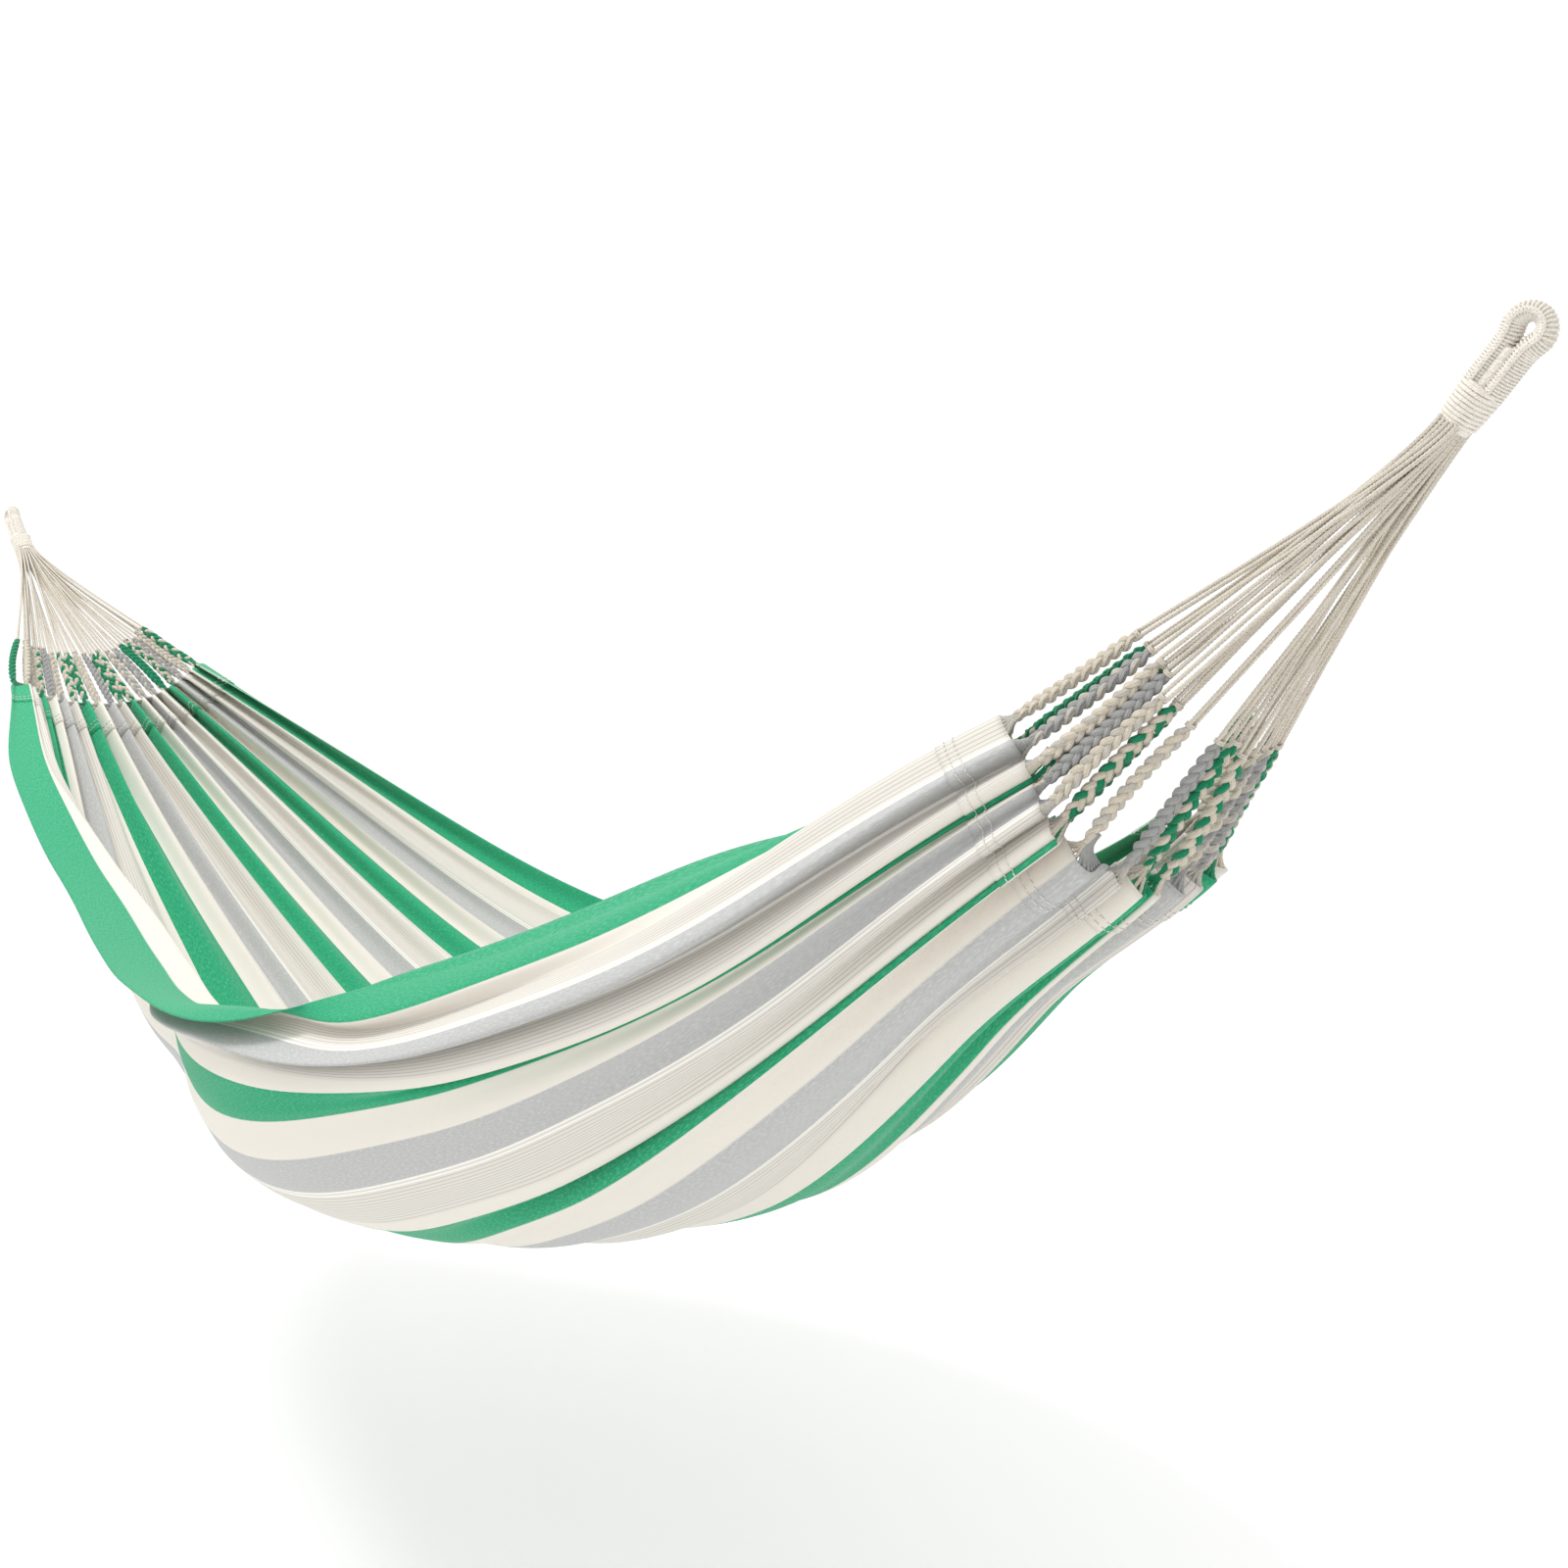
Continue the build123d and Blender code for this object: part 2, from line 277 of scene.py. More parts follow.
def pleats(u, v):
    """Height of the gathers that run out of each hem, one pleat to a braid, and fade away from it."""
    total = 0.0
    for end, away in enumerate((u, 1 - u)):
        i = np.minimum((v * BRAIDS).astype(int), BRAIDS - 1)
        f = v * BRAIDS - i
        j = np.clip(np.where(f < 0.5, i - 1, i + 1), 0, BRAIDS - 1)
        mix = np.abs(f - 0.5)
        size = PLEAT_SIZE[end][i] * (1 - mix) + PLEAT_SIZE[end][j] * mix
        reach = PLEAT_REACH[end][i] * (1 - mix) + PLEAT_REACH[end][j] * mix
        wander = 0.9 * np.sin(7 * v + 5 * end + 9 * away)
        wave = -np.cos(2 * np.pi * BRAIDS * v + wander * smooth(away, 0.0, 0.3))
        folded = 0.35 + 0.65 * smooth(v, 0.26, 0.40) if end else 0.55 + 0.45 * smooth(v, 0.15, 0.30)
        near_hem = PLEAT_DEPTH * size * np.exp(-((away / (PLEAT_FADE * reach)) ** 1.3)) * folded
        wide = np.cos(2 * np.pi * DRAPES * v + 1.3 * end + 2.0 * np.sin(4 * v))
        drape = DRAPE_DEPTH * np.exp(-((away / DRAPE_FADE) ** 2))
        drape = drape * smooth(away, 0.02, 0.12) * smooth(v, 0.2, 0.4)
        total = total + near_hem * wave + drape * wide
    return total


def cloth_point(u, v):
    """Points of the hanging cloth, with the folds of its slack near half and the pleats of its hems."""
    u, v = np.broadcast_arrays(np.asarray(u, float), np.asarray(v, float))
    gather = smooth(u, 0.64, 0.92)
    place = look_up(FOLD_PLACE, u, v) + gather * np.interp(v, GATHER_V, GATHER_SHIFT)
    above = np.minimum(place, 0)
    place = np.maximum(place, 0)
    out, side = directions(u, place)
    points = envelope(u, place) + side * (above * RIM_STRETCH)[..., None]
    belly = HEM_BELLY * smooth(u, 0.90, 1.0) * smooth(place, 0.36, 0.52) * (1 - smooth(place, 0.8, 1.0))
    bulge = look_up(FOLD_OUT, u, v) + pleats(u, v) + gather * np.interp(v, GATHER_V, GATHER_OUT) + belly
    points = points + out * bulge[..., None]
    corner = smooth(u, 0.84, 1.0) * (1 - smooth(place, 0.14, 0.42))
    lean = math.radians(PLANE_TILT[-1])
    pull = np.array([math.cos(lean), 0, -math.sin(lean)]) * HEM_LIFT + np.array([0, HEM_SHIFT, 0])
    far = smooth(u, 0.88, 1.0) * smooth(place, 0.62, 0.88)
    return points + corner[..., None] * pull + far[..., None] * np.array(FAR_CORNER)


# ---------------------------------------------------------------- mesh helpers
def new_mesh(name, verts, faces, material, smooth_shading=True):
    mesh = bpy.data.meshes.new(name)
    verts = np.asarray(verts, float)
    mesh.from_pydata(verts.tolist(), [], [tuple(int(i) for i in face) for face in faces])
    mesh.polygons.foreach_set("use_smooth", [smooth_shading] * len(mesh.polygons))
    for one in material if isinstance(material, (list, tuple)) else [material]:
        mesh.materials.append(one)
    mesh.update()
    piece = bpy.data.objects.new(name, mesh)
    bpy.context.scene.collection.objects.link(piece)
    return piece


def grid_faces(rows, columns, offset=0, closed=False):
    """Quads between rows of points; closed joins the last column to the first."""
    faces = []
    for i in range(rows - 1):
        for j in range(columns if closed else columns - 1):
            k = (j + 1) % columns
            faces.append((offset + i * columns + j, offset + i * columns + k,
                          offset + (i + 1) * columns + k, offset + (i + 1) * columns + j))
    return faces


def rings(path, up=(0.31, 0.17, 0.93)):
    """Frames that move along a path without turning: points, and two directions square to it."""
    path = np.asarray(path, float)
    run = unit(np.gradient(path, axis=0))
    first = np.asarray(up, float)
    first = unit(first - run[0] * (first @ run[0]))
    sides = [first]
    for k in range(1, len(path)):
        last = sides[-1]
        sides.append(unit(last - run[k] * (last @ run[k])))
    sides = np.array(sides)
    return path, sides, np.cross(run, sides)


class Tubes:
    """Gathers many tubes into one mesh, with a place along and around each for its material."""

    def __init__(self):
        self.verts, self.faces, self.slots, self.coords = [], [], [], []

    def add(self, path, radius, sides=8, lobes=0, lobe_depth=0.0, turns_per_metre=0.0, slot=0,
            up=(0.31, 0.17, 0.93), phase=0.0):
        path, a, b = rings(path, up)
        n = len(path)
        radius = np.broadcast_to(np.asarray(radius, float), (n,))
        step = np.linalg.norm(np.diff(path, axis=0), axis=1)
        length = np.concatenate([[0], np.cumsum(step)])
        angle = np.arange(sides) * 2 * np.pi / sides
        twist = phase + 2 * np.pi * turns_per_metre * length
        swell = 1 + lobe_depth * np.cos(lobes * (angle[None] - twist[:, None]))
        r = radius[:, None] * swell
        ring = (path[:, None] + (r * np.cos(angle))[..., None] * a[:, None]
                + (r * np.sin(angle))[..., None] * b[:, None])
        offset = len(self.verts)
        self.verts.extend(ring.reshape(-1, 3).tolist())
        faces = grid_faces(n, sides, offset, closed=True)
        faces.append(tuple(offset + j for j in range(sides))[::-1])
        faces.append(tuple(offset + (n - 1) * sides + j for j in range(sides)))
        self.faces.extend(faces)
        self.slots.extend([slot] * len(faces))
        along_tube = np.repeat(length, sides)
        around = np.tile(angle / (2 * np.pi), n)
        self.coords.extend(zip(along_tube.tolist(), around.tolist()))

    def build(self, name, materials):
        piece = new_mesh(name, self.verts, self.faces, materials)
        piece.data.polygons.foreach_set("material_index", self.slots)
        layer = piece.data.attributes.new("yarn", "FLOAT2", "POINT")
        layer.data.foreach_set("vector", np.asarray(self.coords, float).ravel())
        return piece


# ---------------------------------------------------------------- materials
def new_material(name):
    material = bpy.data.materials.new(name)
    material.use_nodes = True
    nodes, links = material.node_tree.nodes, material.node_tree.links
    shader = nodes["Principled BSDF"]
    return material, nodes, links, shader


def math_node(nodes, links, operation, a, b=None, c=None):
    node = nodes.new("ShaderNodeMath")
    node.operation = operation
    for socket, value in zip(node.inputs, (a, b, c)):
        if value is None:
            continue
        if hasattr(value, "is_linked"):
            links.new(value, socket)
        else:
            socket.default_value = value
    return node.outputs[0]


def colour_ramp(nodes, links, factor, stops):
    node = nodes.new("ShaderNodeValToRGB")
    ramp = node.color_ramp
    while len(ramp.elements) < len(stops):
        ramp.elements.new(0.5)
    for element, (place, colour) in zip(ramp.elements, stops):
        element.position = place
        element.color = (*colour, 1)
    links.new(factor, node.inputs[0])
    return node.outputs[0]


def mix_colour(nodes, links, factor, a, b):
    node = nodes.new("ShaderNodeMix")
    node.data_type = "RGBA"
    for socket, value in ((node.inputs[0], factor), (node.inputs[6], a), (node.inputs[7], b)):
        if hasattr(value, "is_linked"):
            links.new(value, socket)
        elif isinstance(value, tuple):
            socket.default_value = (*value, 1)
        else:
            socket.default_value = value
    return node.outputs[2]


GREEN = (0.013, 0.310, 0.140)
GREEN_FLECK = (0.09, 0.46, 0.28)
ECRU = (0.73, 0.69, 0.62)
GREY = (0.43, 0.435, 0.425)
GREY_FLECK = (0.58, 0.575, 0.565)
PIN = (0.67, 0.64, 0.585)
PIN_LINE = (0.43, 0.40, 0.35)
WHITE = (0.84, 0.82, 0.77)

# The stripes in order from the near side, in metres. The first unit differs from the others.
UNIT = 0.3048
FIRST_UNIT = ((0.076, "green"), (0.039, "ecru"), (0.055, "pin"), (0.056, "grey"), (0.0588, "pin"),
              (0.020, "ecru"))
OTHER_UNITS = ((0.076, "green"), (0.061, "ecru"), (0.061, "grey"), (0.0848, "pin"), (0.022, "ecru"))
STRIPE_EDGE = 0.0009        # half the width of the soft edge between two stripes
PIN_GAP = 0.0031            # half the distance between the fine lines
PIN_WIDTH = 0.0007          # half the width of a fine line
WHITE_WIDTH = 0.0013        # half the width of a white line
STRIPE_COLOUR = {"green": GREEN, "ecru": ECRU, "grey": GREY, "pin": PIN}
FLECK_COLOUR = {"green": GREEN_FLECK, "ecru": ECRU, "grey": GREY_FLECK, "pin": PIN}


def stripe_stops(stripes, colours):
    """Colour stops of one unit, with an edge a thread wide between stripes."""
    stops, place = [], 0.0
    for width, name in stripes:
        stops.append(((place + STRIPE_EDGE) / UNIT if place else 0.0, colours[name]))
        place += width
        stops.append((min((place - STRIPE_EDGE) / UNIT, 1.0), colours[name]))
    return stops


def woven(nodes, links, shader, uv, colour):
    """Fine warp and weft relief, and small unevenness of the threads."""
    stretch = nodes.new("ShaderNodeMapping")
    stretch.inputs["Scale"].default_value = (260.0, 900.0, 1.0)
    links.new(uv, stretch.inputs[0])
    grain = nodes.new("ShaderNodeTexNoise")
    grain.inputs["Scale"].default_value = 1.0
    grain.inputs["Detail"].default_value = 3.0
    links.new(stretch.outputs[0], grain.inputs["Vector"])
    rib = nodes.new("ShaderNodeTexWave")
    rib.bands_direction = "Y"
    rib.inputs["Scale"].default_value = 150.0
    rib.inputs["Distortion"].default_value = 1.2
    rib.inputs["Detail Scale"].default_value = 60.0
    links.new(uv, rib.inputs["Vector"])
    weft = nodes.new("ShaderNodeTexWave")
    weft.bands_direction = "X"
    weft.inputs["Scale"].default_value = 190.0
    weft.inputs["Distortion"].default_value = 1.5
    weft.inputs["Detail Scale"].default_value = 60.0
    links.new(uv, weft.inputs["Vector"])
    height = math_node(nodes, links, "MULTIPLY_ADD", rib.outputs["Fac"], 0.5, grain.outputs["Fac"])
    height = math_node(nodes, links, "MULTIPLY_ADD", weft.outputs["Fac"], 0.3, height)
    relief = nodes.new("ShaderNodeBump")
    relief.inputs["Strength"].default_value = 0.35
    relief.inputs["Distance"].default_value = 0.0006
    links.new(height, relief.inputs["Height"])
    links.new(relief.outputs[0], shader.inputs["Normal"])
    rough = math_node(nodes, links, "MULTIPLY_ADD", grain.outputs["Fac"], 0.18, 0.78)
    links.new(rough, shader.inputs["Roughness"])
    links.new(colour, shader.inputs["Base Color"])
    shader.inputs["Sheen Weight"].default_value = 0.18
    shader.inputs["Sheen Roughness"].default_value = 0.5
    shader.inputs["Specular IOR Level"].default_value = 0.2


def pin_lines(nodes, links, place, colour, start, end, whites):
    """Fine darker lines every 6 mm from start to end, and a white line at each place in whites."""
    lines = math_node(nodes, links, "PINGPONG", place, PIN_GAP)
    line = math_node(nodes, links, "LESS_THAN", lines, PIN_WIDTH)
    inside = math_node(nodes, links, "MULTIPLY",
                       math_node(nodes, links, "GREATER_THAN", place, start + 0.001),
                       math_node(nodes, links, "LESS_THAN", place, end - 0.001))
    line = math_node(nodes, links, "MULTIPLY", line, inside)
    colour = mix_colour(nodes, links, math_node(nodes, links, "MULTIPLY", line, 0.8), colour, PIN_LINE)
    for at in whites:
        gap = math_node(nodes, links, "ABSOLUTE", math_node(nodes, links, "SUBTRACT", place, at))
        white = math_node(nodes, links, "LESS_THAN", gap, WHITE_WIDTH)
        colour = mix_colour(nodes, links, white, colour, WHITE)
    return colour


def striped_cloth():
    """Stripes across the width, a melange of flecks in the green and grey, fine lines in the beige."""
    material, nodes, links, shader = new_material("striped_cloth")
    uv = nodes.new("ShaderNodeUVMap")
    uv.uv_map = "cloth"
    split = nodes.new("ShaderNodeSeparateXYZ")
    links.new(uv.outputs[0], split.inputs[0])
    width = split.outputs["Y"]
    place = math_node(nodes, links, "MODULO", width, UNIT)
    share = math_node(nodes, links, "DIVIDE", place, UNIT)

    fleck_map = nodes.new("ShaderNodeMapping")
    fleck_map.inputs["Scale"].default_value = (170.0, 520.0, 1.0)
    links.new(uv.outputs[0], fleck_map.inputs[0])
    fleck = nodes.new("ShaderNodeTexNoise")
    fleck.inputs["Scale"].default_value = 1.0
    fleck.inputs["Detail"].default_value = 2.0
    links.new(fleck_map.outputs[0], fleck.inputs["Vector"])
    flecks = colour_ramp(nodes, links, fleck.outputs["Fac"], [(0.46, (0, 0, 0)), (0.66, (1, 1, 1))])
    flecks = math_node(nodes, links, "MULTIPLY", flecks, 0.6)

    sides = []
    for stripes in (FIRST_UNIT, OTHER_UNITS):
        plain = colour_ramp(nodes, links, share, stripe_stops(stripes, STRIPE_COLOUR))
        speckled = colour_ramp(nodes, links, share, stripe_stops(stripes, FLECK_COLOUR))
        colour = mix_colour(nodes, links, flecks, plain, speckled)
        start = 0.0
        for stripe_width, name in stripes:
            end = start + stripe_width
            if name == "pin":
                after_grey = start > 0.18
                first, last = (start + 0.010, end) if after_grey else (start, end - 0.010)
                edge, inward = (start, 1) if after_grey else (end, -1)
                whites = (edge + inward * WHITE_WIDTH, edge + inward * 0.0075)
                colour = pin_lines(nodes, links, place, colour, first, last, whites)
            start = end
        sides.append(colour)
    in_first = math_node(nodes, links, "LESS_THAN", width, UNIT)
    colour = mix_colour(nodes, links, in_first, sides[1], sides[0])
    woven(nodes, links, shader, uv.outputs[0], colour)
    return material


def yarn(name, colour, second=None, groove_shade=0.5, strength=0.6, scale=420.0, around=3.0):
    """Spun cotton: slanting ridges of twist with painted shade in the grooves between them, flecks and
    a soft sheen.
    """
    material, nodes, links, shader = new_material(name)
    place = nodes.new("ShaderNodeAttribute")
    place.attribute_name = "yarn"
    split = nodes.new("ShaderNodeSeparateXYZ")
    links.new(place.outputs["Vector"], split.inputs[0])
    slant = math_node(nodes, links, "MULTIPLY", split.outputs["X"], scale)
    turn = math_node(nodes, links, "MULTIPLY", split.outputs["Y"], around)
    stripe = math_node(nodes, links, "FRACT", math_node(nodes, links, "ADD", slant, turn))
    ridge = math_node(nodes, links, "PINGPONG", stripe, 0.5)
    position = nodes.new("ShaderNodeTexCoord")
    grain = nodes.new("ShaderNodeTexNoise")
    grain.inputs["Scale"].default_value = 700.0
    grain.inputs["Detail"].default_value = 3.0
    links.new(position.outputs["Object"], grain.inputs["Vector"])
    patch = nodes.new("ShaderNodeTexNoise")
    patch.inputs["Scale"].default_value = 60.0
    links.new(position.outputs["Object"], patch.inputs["Vector"])
    dark = tuple(c * 0.72 for c in colour)
    tone = colour_ramp(nodes, links, grain.outputs["Fac"], [(0.3, dark), (0.6, colour)])
    light = second or tuple(min(1.0, c * 1.25) for c in colour)
    patches = math_node(nodes, links, "MULTIPLY", patch.outputs["Fac"], 0.35)
    tone = mix_colour(nodes, links, patches, tone, light)
    # Painted shade: the low grooves between the twisted ridges are darkened towards the dark tone.
    valley = math_node(nodes, links, "LESS_THAN", ridge, 0.10)
    tone = mix_colour(nodes, links, math_node(nodes, links, "MULTIPLY", valley, groove_shade), tone, dark)
    links.new(tone, shader.inputs["Base Color"])
    height = math_node(nodes, links, "MULTIPLY_ADD", grain.outputs["Fac"], 0.4, ridge)
    relief = nodes.new("ShaderNodeBump")
    relief.inputs["Strength"].default_value = strength
    relief.inputs["Distance"].default_value = 0.0008
    links.new(height, relief.inputs["Height"])
    links.new(relief.outputs[0], shader.inputs["Normal"])
    rough = math_node(nodes, links, "MULTIPLY_ADD", grain.outputs["Fac"], 0.2, 0.75)
    links.new(rough, shader.inputs["Roughness"])
    shader.inputs["Sheen Weight"].default_value = 0.2
    shader.inputs["Specular IOR Level"].default_value = 0.2
    return material


CLOTH = striped_cloth()
CORD = yarn("natural_cord", (0.66, 0.605, 0.515), strength=0.9)
WRAP = yarn("wrapping_cord", (0.80, 0.755, 0.68))
THREAD = yarn("sewing_thread", (0.85, 0.82, 0.76))
STRANDS = {"scale": 70.0, "around": 9.0, "strength": 0.9, "groove_shade": 0.7}
# Painted shade: the braid yarns are the cloth's own yarns painted darker, for the shade that falls on
# the braids.
YARNS = {
    "green": yarn("green_yarn", (0.004, 0.215, 0.095), (0.012, 0.31, 0.145), **STRANDS),
    "ecru": yarn("ecru_yarn", (0.62, 0.56, 0.46), **STRANDS),
    "grey": yarn("grey_yarn", (0.34, 0.34, 0.335), (0.45, 0.45, 0.44), **STRANDS),
    "pin": yarn("shaded_mixed_yarn", (0.52, 0.485, 0.43), (0.62, 0.585, 0.52), **STRANDS),
}
YARN_ORDER = list(YARNS)


def yarn_at(v):
    """Yarn slot of the warp at fraction v of the width."""
    width = v * CLOTH_WIDTH
    place = width % UNIT
    for stripe_width, name in FIRST_UNIT if width < UNIT else OTHER_UNITS:
        if place < stripe_width:
            return YARN_ORDER.index(name)
        place -= stripe_width
    return YARN_ORDER.index("green")            # past the last stripe, the next unit begins


# ---------------------------------------------------------------- cloth
def cloth_sheet(name, us, vs, thickness):
    """Sheet of cloth over a grid of fractions, with its unrolled place as a UV map."""
    grid_u, grid_v = np.meshgrid(us, vs, indexing="ij")
    points = cloth_point(grid_u, grid_v)
    piece = new_mesh(name, points.reshape(-1, 3), grid_faces(len(us), len(vs)), CLOTH)
    layer = piece.data.uv_layers.new(name="cloth")
    corners = np.empty(len(piece.data.loops), dtype=int)
    piece.data.loops.foreach_get("vertex_index", corners)
    flat = np.stack([grid_u * CLOTH_LENGTH, grid_v * CLOTH_WIDTH], -1).reshape(-1, 2)
    layer.data.foreach_set("uv", flat[corners].ravel())
    solid = piece.modifiers.new("thickness", "SOLIDIFY")
    solid.thickness = thickness
    solid.offset = 0.0
    return piece


def ease_ends(count):
    """Fractions from 0 to 1, closer together near both ends."""
    t = np.linspace(0, 1, count)
    return t - 0.11 * np.sin(2 * np.pi * t)


WIDTH_STEPS = np.concatenate([np.linspace(0, 0.3, 121)[:-1], np.linspace(0.3, 1, 161)])
cloth = cloth_sheet("cloth_bed", ease_ends(166), WIDTH_STEPS, CLOTH_THICKNESS)
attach(cloth, "bed")
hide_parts("bed_cloth")

HEM_THICKNESS = 0.0034
STITCHES = 230              # in one row of one hem
STITCH_SHARE = 0.62         # of the distance from one stitch to the next
STITCH_RADIUS = 0.00055
for side in ("left", "right"):
    ends = np.linspace(0, HEM_FRACTION, 9)
    us = ends if side == "left" else 1 - ends[::-1]
    hem = cloth_sheet(side + "_hem_band", us, np.linspace(0, 1, 361), HEM_THICKNESS)
    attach(hem, "bed")
    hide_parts(side + "_hem")


def stitching(side):
    """Two rows of stitches on both faces of the hem."""
    tubes = Tubes()
    for fraction in SEAM_FRACTIONS:
        u = fraction if side == "left" else 1 - fraction
        for face in (1, -1):
            starts = (np.arange(STITCHES) + (0.5 if face < 0 else 0.0)) / STITCHES
            for start in starts:
                run = np.array([0.0, 0.25, 0.5, 0.75, 1.0]) * STITCH_SHARE / STITCHES
                v = np.clip(start + run, 0.001, 0.999)
                points = cloth_point(np.full(5, u), v)
                across_step = np.gradient(points, axis=0)
                toward = cloth_point(np.full(5, u + 0.002), v) - cloth_point(np.full(5, u - 0.002), v)
                out = unit(np.cross(across_step, toward))
                lift = np.array([0.0004, 0.0009, 0.0010, 0.0009, 0.0004]) + HEM_THICKNESS / 2 - 0.0003
                tubes.add(points + out * (face * lift)[:, None], STITCH_RADIUS, sides=5)
    piece = tubes.build(side + "_stitches", [THREAD])
    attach(piece, "bed")
    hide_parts(side + "_hem_stitching")
    return piece


stitches = [stitching(side) for side in ("left", "right")]


# ---------------------------------------------------------------- braids
BRAID_LENGTH = 0.145
BRAID_HALF_WIDTH = 0.0041
BRAID_HALF_DEPTH = 0.0024
STRAND_RADIUS = 0.0033
PLAIT_PERIOD = 0.034
STRAND_TWIST = 16.0         # turns in a metre
FEED_LENGTH = 0.020
FEEDS = 11
FEED_TWIST = 70.0
# Where along its own stretch of hem each braid gathers.
BRAID_ROOT = {"left": [0.32] * BRAIDS, "right": [0.70] * BRAIDS}
# Braids 9 to 13 of the right end crowd together and leave gaps.
BRAID_ROOT["right"][8:13] = [-0.25, 0.25, 0.45, 0.90, 0.55]

# The yarns of the three strands of each braid from the near side: green, ecru, grey (r) and pin (p).
BRAID_YARNS = ("ggg", "eee", "rrp", "eep", "gee", "rrr", "pee", "ege", "gge", "epe", "rrr", "geg",
               "gee", "per", "rpr", "ggg", "gee", "rrp", "epe", "gge")


def braid_line(side, i):
    """Root of braid i on the hem, its direction to the neck, and the way that the hem runs."""
    u = EDGE[side]
    vs = (i + BRAID_ROOT[side][i] + np.array([-0.15, 0.15])) / BRAIDS
    rim = cloth_point(np.array([u, u]), vs)
    panel = cloth_point(np.full(9, u), (i + np.linspace(0.05, 0.95, 9)) / BRAIDS)
    base = rim.mean(0) * 0.75 + 0.25 * panel.mean(0)
    toward = unit(np.array(NECK[side]) - base)
    centre = (i + 0.5) / BRAIDS
    beside = envelope(np.array([u, u]), np.array([centre - 0.02, centre + 0.02]))
    hem = unit(beside[1] - beside[0])
    hem = unit(hem - toward * (hem @ toward))
    return base, toward, hem


def plait(side, i):
    """Three-strand plait in its own yarns, and the bundles of warp that feed it.

    Returns the piece, then the top of the plait, its two directions there and its direction."""
    rng = np.random.default_rng(100 + i + (50 if side == "right" else 0))
    base, toward, hem = braid_line(side, i)
    depth = np.cross(toward, hem)
    tubes = Tubes()
    turn = rng.uniform(-0.55, 0.55)
    length = BRAID_LENGTH + rng.uniform(-0.008, 0.003)
    phase = rng.uniform(0, 2 * math.pi)
    bow = hem * rng.uniform(-0.004, 0.004) + depth * rng.uniform(-0.004, 0.004)
    s = np.linspace(FEED_LENGTH - 0.006, length, 84)
    curl = turn + rng.uniform(-0.5, 0.5) * (s / length)
    wide = hem * np.cos(curl)[:, None] + depth * np.sin(curl)[:, None]
    deep = -hem * np.sin(curl)[:, None] + depth * np.cos(curl)[:, None]
    middle = base + s[:, None] * toward + bow * np.sin(np.pi * s / length)[:, None]
    closing = (0.72 + 0.28 * smooth(s, FEED_LENGTH - 0.006, FEED_LENGTH + 0.02)
               - 0.30 * smooth(s, length - 0.014, length) - 0.10 * (s / length))
    for strand in range(3):
        t = 2 * math.pi * s / PLAIT_PERIOD + phase + strand * 2 * math.pi / 3
        across = BRAID_HALF_WIDTH * np.sin(t) * closing
        through = BRAID_HALF_DEPTH * np.sin(2 * t) * closing
        path = middle + across[:, None] * wide + through[:, None] * deep
        slot = "gerp".index(BRAID_YARNS[i][strand])
        tubes.add(path, STRAND_RADIUS * closing, sides=16, lobes=4, lobe_depth=0.07,
                  turns_per_metre=STRAND_TWIST, slot=slot, up=wide[0])
    for k in range(FEEDS):
        part = (k + 0.5) / FEEDS
        v = (i + part) / BRAIDS
        inside = 0.003 if side == "left" else -0.003
        foot = cloth_point(np.array([EDGE[side] + inside]), np.array([v]))[0]
        rim = cloth_point(np.array([EDGE[side]]), np.array([v]))[0]
        head = base + toward * (FEED_LENGTH + 0.006) + wide[0] * (part - 0.5) * 2 * BRAID_HALF_WIDTH
        shoulder = rim * 0.45 + base * 0.55 + toward * 0.004
        knee = base + toward * (FEED_LENGTH * 0.30) + (rim - base) * 0.06
        t = np.linspace(0, 1, 14)[:, None]
        path = (foot * (1 - t) ** 4 + 4 * rim * t * (1 - t) ** 3 + 6 * shoulder * t ** 2 * (1 - t) ** 2
                + 4 * knee * t ** 3 * (1 - t) + head * t ** 4)
        radius = 0.0014 + 0.0009 * t[:, 0]
        tubes.add(path, radius, sides=8, lobes=3, lobe_depth=0.15, turns_per_metre=FEED_TWIST,
                  slot=yarn_at(v))
    piece = tubes.build(f"{side}_plait_{i + 1:02d}", [YARNS[name] for name in YARN_ORDER])
    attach(piece, "bed")
    middle_yarn = YARN_ORDER[yarn_at((i + 0.5) / BRAIDS)]
    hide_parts(f"{side}_braid_{i + 1:02d}")
    return piece, middle[-1], wide[-1], deep[-1], toward


# ---------------------------------------------------------------- cords
CORD_RADIUS = 0.0018
CORD_COLUMNS = 8
CORD_ROWS = 5
CORD_PITCH = 0.0038
CORDS_PER_BRAID = 2
CORD_START = 0.004          # how far outside the swing axis the cords come out of the whipping
CORD_TWIST = 1 / 0.0105     # turns in a metre
CORD_APART = 0.0030         # half the distance between the two cords of a braid, at its top
CORD_SAG = 0.0025
KNOT_RADIUS = 0.0036
KNOT_CORD = 0.0011
KNOT_PITCH = 0.0020
KNOT_TURNS = 2.1


def neck_slot(side, fan, c):
    """Place of cord c in the bundle at the neck, packed in columns from the near side."""
    column, row = divmod(c, CORD_ROWS)
    if c < CORDS_PER_BRAID * BRAIDS / 2:
        row = CORD_ROWS - 1 - row
    across = np.array([0.0, 1.0, 0.0])
    up = unit(np.cross(fan, across))
    up = up if up[2] > 0 else -up
    out = (column - (CORD_COLUMNS - 1) / 2) * CORD_PITCH
    lift = (row - (CORD_ROWS - 1) / 2) * CORD_PITCH
    return np.array(NECK[side]) + fan * CORD_START + across * out + up * lift


